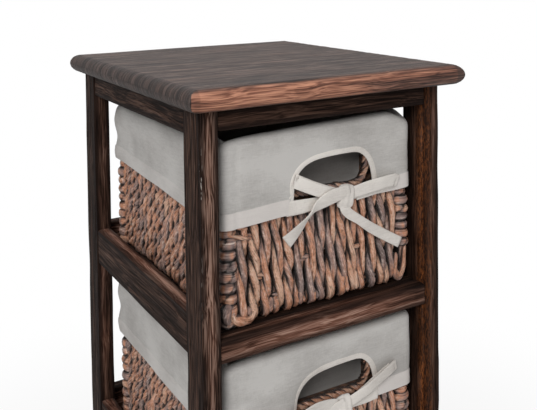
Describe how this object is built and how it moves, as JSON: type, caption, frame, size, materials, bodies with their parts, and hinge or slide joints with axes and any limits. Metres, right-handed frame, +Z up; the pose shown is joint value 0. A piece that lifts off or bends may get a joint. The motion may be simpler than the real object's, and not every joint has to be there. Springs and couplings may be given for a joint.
{
  "type": "basket shelf",
  "caption": "Free-standing wooden shelf tower with open bays, each holding a woven basket with a cloth liner that slides out to the front.",
  "frame": {"origin": "centre of the footprint on the floor, under the middle of the board", "axes": "+Z up, the front with the bows faces -Y, +X to the right seen from the front"},
  "size_m": [0.293, 0.3326, 0.6775],
  "materials": {
    "board_wood": "charred, brushed, satin",
    "dark_wood": "charred, brushed, satin",
    "pale_wood": "planed, bare",
    "plant_fibre": "twisted dry leaf strands",
    "wire_steel": "drawn wire",
    "screw_steel": "zinc plated",
    "cotton": "plain woven cotton",
    "white_cotton": "cotton tape"
  },
  "bodies": {
    "rack": {"top_board": "board_wood", "front_left_post": "dark_wood", "front_right_post": "dark_wood", "back_left_post": "dark_wood", "back_right_post": "dark_wood", "front_top_rail": "dark_wood", "back_top_rail": "dark_wood", "left_top_rail": "dark_wood", "right_top_rail": "dark_wood", "front_rail_1": "dark_wood", "back_rail_1": "dark_wood", "left_rail_1": "dark_wood", "right_rail_1": "dark_wood", "bearers_1": "dark_wood", "slats_1": "dark_wood", "front_rail_2": "dark_wood", "back_rail_2": "dark_wood", "left_rail_2": "dark_wood", "right_rail_2": "dark_wood", "bearers_2": "dark_wood", "slats_2": "dark_wood", "front_rail_3": "dark_wood", "back_rail_3": "dark_wood", "left_rail_3": "dark_wood", "right_rail_3": "dark_wood", "bearers_3": "dark_wood", "slats_3": "dark_wood", "dowels": "pale_wood", "board_screws": "screw_steel", "bearer_screws": "screw_steel"},
    "basket_1": {"basket_1_walls": "plant_fibre", "basket_1_strands": "plant_fibre", "basket_1_base": "plant_fibre", "basket_1_rim": "plant_fibre", "basket_1_corner_wraps": "plant_fibre", "basket_1_wire_frame": "wire_steel", "basket_1_liner": "cotton", "basket_1_binding": "white_cotton", "basket_1_tie": "white_cotton"},
    "basket_2": {"basket_2_walls": "plant_fibre", "basket_2_strands": "plant_fibre", "basket_2_base": "plant_fibre", "basket_2_rim": "plant_fibre", "basket_2_corner_wraps": "plant_fibre", "basket_2_wire_frame": "wire_steel", "basket_2_liner": "cotton", "basket_2_binding": "white_cotton", "basket_2_tie": "white_cotton"},
    "basket_3": {"basket_3_walls": "plant_fibre", "basket_3_strands": "plant_fibre", "basket_3_base": "plant_fibre", "basket_3_rim": "plant_fibre", "basket_3_corner_wraps": "plant_fibre", "basket_3_wire_frame": "wire_steel", "basket_3_liner": "cotton", "basket_3_binding": "white_cotton", "basket_3_tie": "white_cotton"}
  },
  "joints": [
    {"name": "basket_1_slide", "type": "slide", "parent": "rack", "child": "basket_1", "axis": [0, -1, 0], "range_m": [0, 0.28]},
    {"name": "basket_2_slide", "type": "slide", "parent": "rack", "child": "basket_2", "axis": [0, -1, 0], "range_m": [0, 0.28]},
    {"name": "basket_3_slide", "type": "slide", "parent": "rack", "child": "basket_3", "axis": [0, -1, 0], "range_m": [0, 0.28]}
  ]
}
